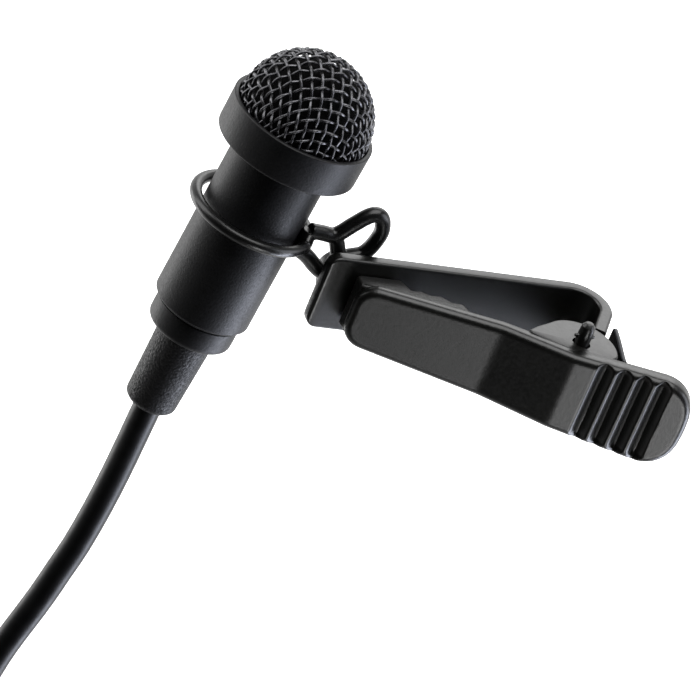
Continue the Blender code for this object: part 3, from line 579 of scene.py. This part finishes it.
def groove(at):
    """How deep the grip's grooves are at (s, w): V-shaped valleys that narrow and rise towards the edges."""
    fade = np.clip((3.75 - np.abs(at[:, 1])) / 0.8, 0, 1) ** 0.7
    valley = sum(np.clip(1 - np.abs(at[:, 0] - fold_s - g) / (GROOVE_W * fade + 1e-6), 0, 1) for g in GROOVES)
    return GROOVE_DEEP * fade * valley ** 1.3 * (1.6 - 0.6 * valley)


rows = []
for q in np.linspace(0, 1, 24):
    at = core + (outline + inward * EDGE - core) * q
    rows.append(on_lever(at[:, 0], at[:, 1], groove(at)))
for t in np.radians(np.linspace(0, 90, 9))[1:]:
    at = outline + inward * EDGE * (1 - math.sin(t))
    rows.append(on_lever(at[:, 0], at[:, 1], EDGE * (1 - math.cos(t)) + groove(at) * math.cos(t)))
for inset, back in ((0.0, 0.12), (0.04, 0.03), (0.12, 0.0), (WALL - 0.12, 0.0), (WALL - 0.04, 0.03)):
    rows.append(lever_row(inset, deep - back))
rows += [lever_row(WALL, np.maximum(deep - 0.12, 0.82)), lever_row(WALL, 0.8 + 0 * deep)]
for q in (0.66, 0.33, 0.0):
    at = core + (outline + inward * WALL - core) * q
    rows.append(on_lever(at[:, 0], at[:, 1], 0.8))
front = [(on_clip(np.array(rows)), False)]


def plate(outline, low, high, edge, centre, hole=0.0):
    """A flat plate between two heights, its rims rounded by edge, its faces drawn in straight to a centre.

    A hole of that radius stops the faces at a circle about the centre, and the closed rows make its wall.
    """
    p = np.asarray(outline, float)
    d = np.roll(p, -1, 0) - np.roll(p, 1, 0)
    side = np.stack([-d[:, 1], d[:, 0]], -1) / np.hypot(*d.T)[:, None]
    area = (p[:, 0] * np.roll(p[:, 1], -1) - np.roll(p[:, 0], -1) * p[:, 1]).sum()
    side *= np.sign(area)
    out = p - centre
    core = centre + out / np.hypot(*out.T)[:, None] * hole
    t = np.radians(np.linspace(0, 90, 5))
    ring_low = [(edge * (1 - math.sin(x)), low + edge * (1 - math.cos(x))) for x in t]
    ring_high = [(edge * (1 - math.sin(x)), high - edge * (1 - math.cos(x))) for x in t[::-1]]
    rows = [np.column_stack([core, 0 * core[:, 0] + low])]
    rows += [np.column_stack([p + side * i, 0 * p[:, 0] + z]) for i, z in ring_low + ring_high]
    rows.append(np.column_stack([core, 0 * core[:, 0] + high]))
    return np.array(rows)


def sweep(centre, radius, first, last, steps):
    """Points on an arc in the clip's plane, angles in degrees."""
    a = np.radians(np.linspace(first, last, steps))
    return [tuple(p) for p in np.array(centre) + radius * np.stack([np.cos(a), np.sin(a)], -1)]


ear = rounded([(10.9, -6.35), (12.0, -5.6)] + sweep(PIN, 2.85, 125, -28, 40) + [(16.0, -9.6)], 0.3, steps=4)
for low, high in ((2.45, 3.2), (-3.2, -2.45)):
    front.append((on_clip(plate(ear, low, high, 0.16, np.array(PIN), 0.7)), True))
lever = skin("thumb_lever_moulding", front, nylon)
fit(lever, "lever", "black_plastic", "front_lever")

# ---- Toothed insert ----
# A grey nylon block pushed into the lever's jaw end. Its flat first tooth meets the rear jaw, and smaller
# waves behind it keep cloth from creeping out.
insert_upper = [(-0.3, -0.15), (3.3, -0.15), (3.75, -1.35), (4.5, -1.2), (5.1, -1.6), (6.0, -1.55),
                (6.7, -2.2), (7.6, -2.25), (8.4, -4.75)]
shape = rounded(insert_upper + [(-0.3, -1.5)], [0.4, 0.3, 0.3, 0.4, 0.4, 0.4, 0.4, 0.4, 0.05, 0.05], steps=5)
grey_nylon = finish("moulded_grey_nylon", "#111110", "#171716", 1.5, 0.15, 0.01, 0.4, 0.55)
insert = skin("toothed_jaw_insert", [(on_clip(plate(shape, -2.1, 2.1, 0.25, np.array([3.2, -1.9]))), False)],
              grey_nylon)
fit(insert, "lever", "grey_plastic", "toothed_insert")

# ---- Leaf spring ----
# A blade of blued spring steel, folded round the lever's inner wall and leaning on the rear jaw's strip. It
# pushes the grip out. The real blade bends as the lever is pressed; this one is a fixed shape that stays where
# it is built.
blade_path = through(np.array([(18.95, -4.45, 0), (18.7, -5.9, 0), (18.4, -7.3, 0), (18.15, -8.7, 0),
                               (18.25, -9.4, 0), (18.9, -9.85, 0), (20.2, -10.35, 0)]), 8)[:, :2]
blade_half = np.where(blade_path[:, 1] > -8.7, 3.0, 2.2)
blued = finish("blued_spring_steel", "#1d1e21", "#26272b", 2.0, 0.1, 0.004, 0.25, 0.38, Metallic=0.9)
blade = skin("leaf_spring_blade", [(on_clip(strap(blade_path, blade_half, 0.2, 0.15)), False)], blued)
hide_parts("leaf_spring")
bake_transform(blade)

# ---- Hinge pin ----
# A nylon pin through the ears and the knuckle: a flat head below, and two small barbs that snap out above.
pin = [(lathe(rounded([(0, 5.0), (0.3, 4.95), (0.5, 4.7), (0.55, 4.1), (0.55, -3.45), (0.95, -3.45),
                       (0.95, -3.75), (0, -3.75)], 0.1, closed=False), (*PIN, 0), 48), False),
       (tube([(PIN[0] + x, PIN[1], 3.85) for x in np.linspace(-0.8, 0.8, 9)],
             0.2 * np.sqrt(1 - np.linspace(-0.96, 0.96, 9) ** 6), 14), False)]
hinge_pin = skin("snap_hinge_pin", [(on_clip(grid), closed) for grid, closed in pin], nylon)
fit(hinge_pin, "clip", "black_plastic", "hinge_pin")

# ---- Swivel cap ----
# A small moulded cap pressed on the post, which keeps the holder's hub on the clip.
cap_rows = lathe(rounded([(0, 3.9), (1.5, 3.9), (1.5, 2.8), (0.85, 2.8), (0.85, 3.6), (0, 3.6)],
                         [0, 0.3, 0.08, 0.08, 0.05, 0], closed=False), (0, 0, 0), 48)
cap = skin("post_cap", [(on_clip(cap_rows[..., [0, 2, 1]]), False)], nylon)
fit(cap, "clip", "black_plastic", "swivel_cap")

# ---- Studio ----
# A white floor under the hanging cable, a surround that is white behind and dark in front, which keeps the
# black parts' middles dark, and soft boxes. The low boxes stand under the floor's level, where black upright
# parts mirror them to someone who looks down, so the floor lets their light through.
floor_z = cad_box[0][2] - 0.004
bpy.ops.mesh.primitive_plane_add(size=8, location=(0, 0, floor_z))
floor = bpy.context.object
floor.name = "studio_floor"
floor.data.materials.append(finish("white_studio_floor", "#f4f4f4", "#f8f8f8", 400, 30, 0.01, 0.7, 0.8,
                                   Emission_Color=(1, 1, 1, 1), Emission_Strength=0.9))
floor.visible_glossy = floor.visible_diffuse = floor.visible_shadow = False

camera_data = bpy.data.cameras.new("camera")
camera_data.lens, camera_data.sensor_width = 287.5, 36
camera_data.clip_start, camera_data.clip_end = 0.01, 20
camera = bpy.data.objects.new("camera", camera_data)
bpy.context.scene.collection.objects.link(camera)
AZIMUTH, ELEVATION, ROLL = (math.radians(a) for a in (-33.10, 26.65, 29.526))
back = Vector((math.sin(AZIMUTH) * math.cos(ELEVATION), -math.cos(AZIMUTH) * math.cos(ELEVATION),
               math.sin(ELEVATION)))
level = Vector((math.cos(AZIMUTH), math.sin(AZIMUTH), 0))
rise = back.cross(level)
right = math.cos(ROLL) * level + math.sin(ROLL) * rise
above = -math.sin(ROLL) * level + math.cos(ROLL) * rise
camera.matrix_world = Matrix.Translation(Vector((-195.23, -302.96, 177.13)) * MM) @ Matrix(
    (right, above, back)).transposed().to_4x4()
bpy.context.scene.camera = camera


def soft_box(name, azimuth, elevation, distance, width, height, watts, colour="#ffffff"):
    """A rectangular area light that faces the microphone from that direction."""
    data = bpy.data.lights.new(name, "AREA")
    data.shape, data.size, data.size_y, data.energy = "RECTANGLE", width, height, watts
    data.color = linear(colour)[:3]
    light = bpy.data.objects.new(name, data)
    a, e = math.radians(azimuth), math.radians(elevation)
    towards = Vector((math.sin(a) * math.cos(e), -math.cos(a) * math.cos(e), math.sin(e)))
    light.location = towards * distance
    light.rotation_euler = (-towards).to_track_quat("-Z", "Y").to_euler()
    bpy.context.scene.collection.objects.link(light)
    return light


soft_box("left_box", -120, 25, 0.8, 0.5, 0.8, 4)
soft_box("right_box", 62, 15, 0.8, 0.5, 0.8, 4, "#f2f5ff")
soft_box("top_box", -20, 80, 0.9, 0.8, 0.8, 8)
soft_box("low_left_box", -147, -27, 0.8, 0.35, 0.7, 2.5)
soft_box("low_right_box", 64, -27, 0.8, 0.33, 0.7, 7, "#e8eeff")
soft_box("back_box", 152, 34, 0.9, 0.5, 0.4, 1.6)
card = soft_box("front_card", 8, -29, 0.8, 0.24, 0.33, 1.9)
# A flag shades the microphone from the front card, so it lights only the grille, the holder and the clip.
lit = bpy.data.collections.new("lit_by_front_card")
for piece in (grille, holder, rear_jaw, lever, insert, blade, hinge_pin, cap):
    lit.objects.link(piece)
card.light_linking.receiver_collection = lit
world = bpy.data.worlds.new("studio_surround")
bpy.context.scene.world = world
world.use_nodes = True
tree = world.node_tree
surround = tree.nodes["Background"]
direction = add(tree, "ShaderNodeTexCoord")
dark_side = add(tree, "ShaderNodeVectorMath", {"operation": "DOT_PRODUCT"}, Vector=(direction, "Generated"))
dark_side.inputs[1].default_value = back
shade = add(tree, "ShaderNodeMapRange", {"From Min": -0.75, "From Max": 0.3, "To Min": 1.2, "To Max": 0.01},
            Value=(dark_side, "Value"))
tree.links.new(shade.outputs["Result"], surround.inputs["Color"])
surround.inputs["Strength"].default_value = 1.0

# The plain view transform keeps the blacks deep and lets the floor reach white.
bpy.context.scene.view_settings.view_transform = "Standard"
